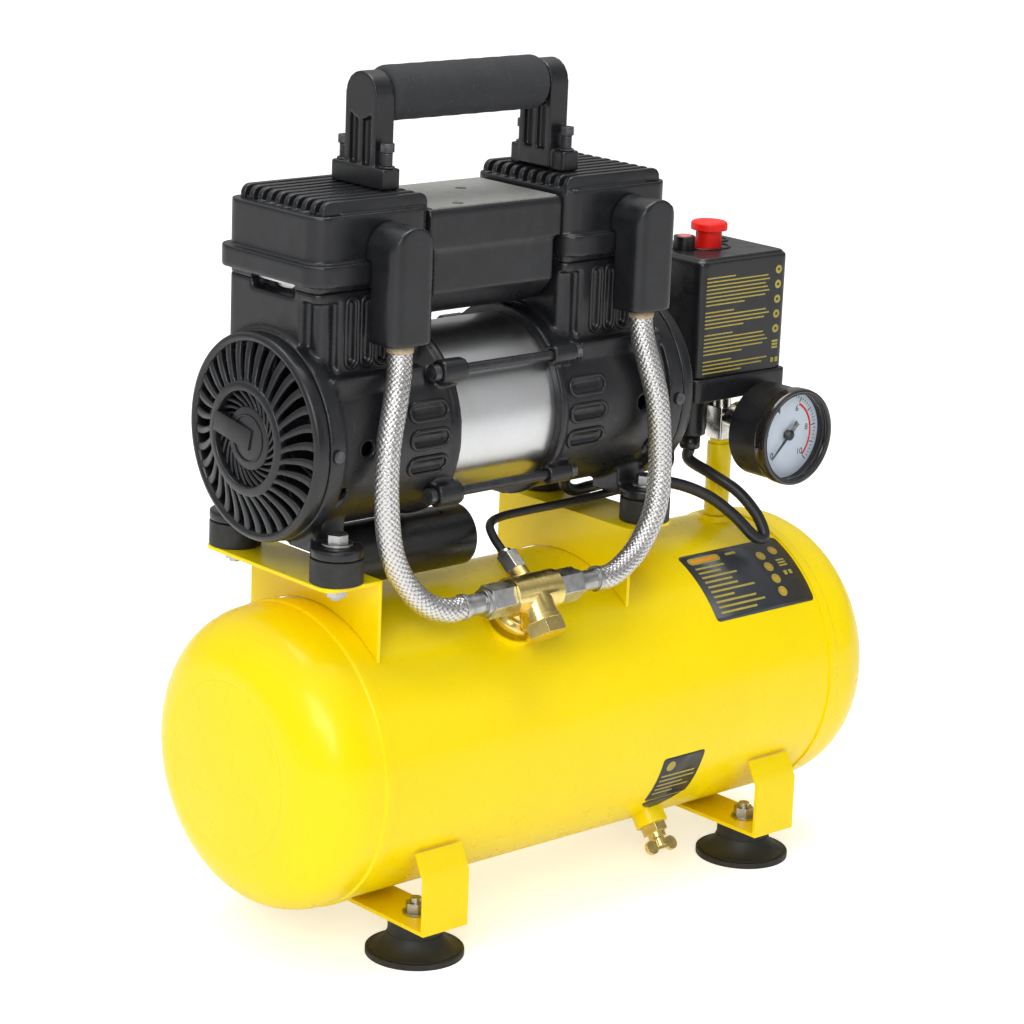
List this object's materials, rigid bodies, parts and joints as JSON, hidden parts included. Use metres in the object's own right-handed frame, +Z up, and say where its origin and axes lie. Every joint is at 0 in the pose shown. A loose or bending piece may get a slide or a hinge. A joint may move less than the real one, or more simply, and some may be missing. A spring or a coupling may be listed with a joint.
{
  "type": "air compressor",
  "caption": "Portable oil-free air compressor: twin-cylinder electric pump with handle on a small horizontal tank, braided delivery hoses, pressure switch, gauge and drain.",
  "frame": {"origin": "on the floor, under the middle of the tank", "axes": "+Z up, X along the tank with the pressure switch at +X, -Y is the front with the gauge and the check valve"},
  "size_m": [0.4138, 0.1674, 0.455],
  "materials": {
    "tank_yellow": "gloss paint",
    "cast_black": "satin black coating",
    "black_plastic": "moulded, fine texture",
    "black_rubber": "moulded",
    "foam": "closed-cell foam, matte",
    "zinc_steel": "zinc plated",
    "sleeve_steel": "brushed",
    "black_steel": "black oxide",
    "motor_iron": "varnished",
    "bare_aluminium": "machined",
    "brass": "as turned",
    "nickel": "nickel plated",
    "braid": "woven wire over rubber",
    "cable_sheath": "smooth",
    "red_plastic": "glossy",
    "dial_white": "printed enamel",
    "clear": "clear"
  },
  "bodies": {
    "machine": {"tank_shell": "tank_yellow", "tank_ends": "tank_yellow", "foot_brackets": "tank_yellow", "rubber_feet": "black_rubber", "foot_bolts": "zinc_steel", "pump_bracket_left": "tank_yellow", "pump_bracket_right": "tank_yellow", "rubber_mounts": "black_rubber", "mount_bolts": "zinc_steel", "crankcase_left": "cast_black", "crankcase_right": "cast_black", "motor_sleeve": "sleeve_steel", "stator": "motor_iron", "tie_rods": "black_steel", "bearings": "zinc_steel", "fan_cover_left": "black_plastic", "fan_cover_right": "black_plastic", "cover_screws": "black_steel", "cylinder_sleeves": "bare_aluminium", "valve_plates": "bare_aluminium", "cylinder_head_left": "cast_black", "cylinder_head_right": "cast_black", "head_screws": "black_steel", "intake_box": "black_plastic", "intake_lid": "black_plastic", "outlet_elbows": "cast_black", "capacitor": "black_plastic", "handle_posts": "black_plastic", "handle_bar": "zinc_steel", "handle_grip": "foam", "handle_bolts": "black_steel", "check_valve_body": "brass", "check_valve_cap": "brass", "hose_fittings": "zinc_steel", "hose_left": "braid", "hose_right": "braid", "line_fittings": "nickel", "unloader_tube": "cable_sheath", "motor_lead": "cable_sheath", "riser_pipe": "tank_yellow", "manifold": "nickel", "switch_base": "black_plastic", "switch_cover": "black_plastic", "gauge_case": "black_steel", "gauge_dial": "dial_white", "gauge_lens": "clear", "safety_valve": "brass", "outlet_coupler": "zinc_steel", "drain_valve": "brass"},
    "rotor": {"motor_shaft": "zinc_steel", "rotor_core": "motor_iron", "eccentrics": "bare_aluminium", "cooling_fans": "black_plastic"},
    "left_piston": {"piston_left": "bare_aluminium"},
    "right_piston": {"piston_right": "bare_aluminium"},
    "stop_knob": {"switch_knob": "red_plastic"},
    "reset": {"reset_button": "black_plastic"},
    "needle": {"gauge_needle": "black_steel"},
    "collar": {"coupler_collar": "nickel"},
    "wing": {"drain_wing": "brass"}
  },
  "joints": [
    {"name": "motor_spin", "type": "hinge", "parent": "machine", "child": "rotor", "pos_m": [-0.063, 0, 0.274], "axis": [1, 0, 0], "continuous": true},
    {"name": "left_piston_stroke", "type": "slide", "parent": "machine", "child": "left_piston", "axis": [0, 0, 1], "range_m": [-0.007, 0.007]},
    {"name": "right_piston_stroke", "type": "slide", "parent": "machine", "child": "right_piston", "axis": [0, 0, 1], "range_m": [-0.007, 0.007]},
    {"name": "knob_travel", "type": "slide", "parent": "machine", "child": "stop_knob", "axis": [0, 0, 1], "range_m": [-0.005, 0]},
    {"name": "reset_press", "type": "slide", "parent": "machine", "child": "reset", "axis": [0, 0, 1], "range_m": [-0.003, 0], "stiffness_N_per_m": 400},
    {"name": "needle_turn", "type": "hinge", "parent": "machine", "child": "needle", "pos_m": [0.141, -0.052, 0.242], "axis": [0, 1, 0], "range_deg": [0, 270], "stiffness_Nm_per_rad": 0.001},
    {"name": "collar_slide", "type": "slide", "parent": "machine", "child": "collar", "axis": [0, 1, 0], "range_m": [-0.005, 0], "stiffness_N_per_m": 400},
    {"name": "drain_turn", "type": "hinge", "parent": "machine", "child": "wing", "pos_m": [0.05, -0.06101, 0.02277], "axis": [0, -0.6101, -0.7923], "range_deg": [0, 360]}
  ]
}
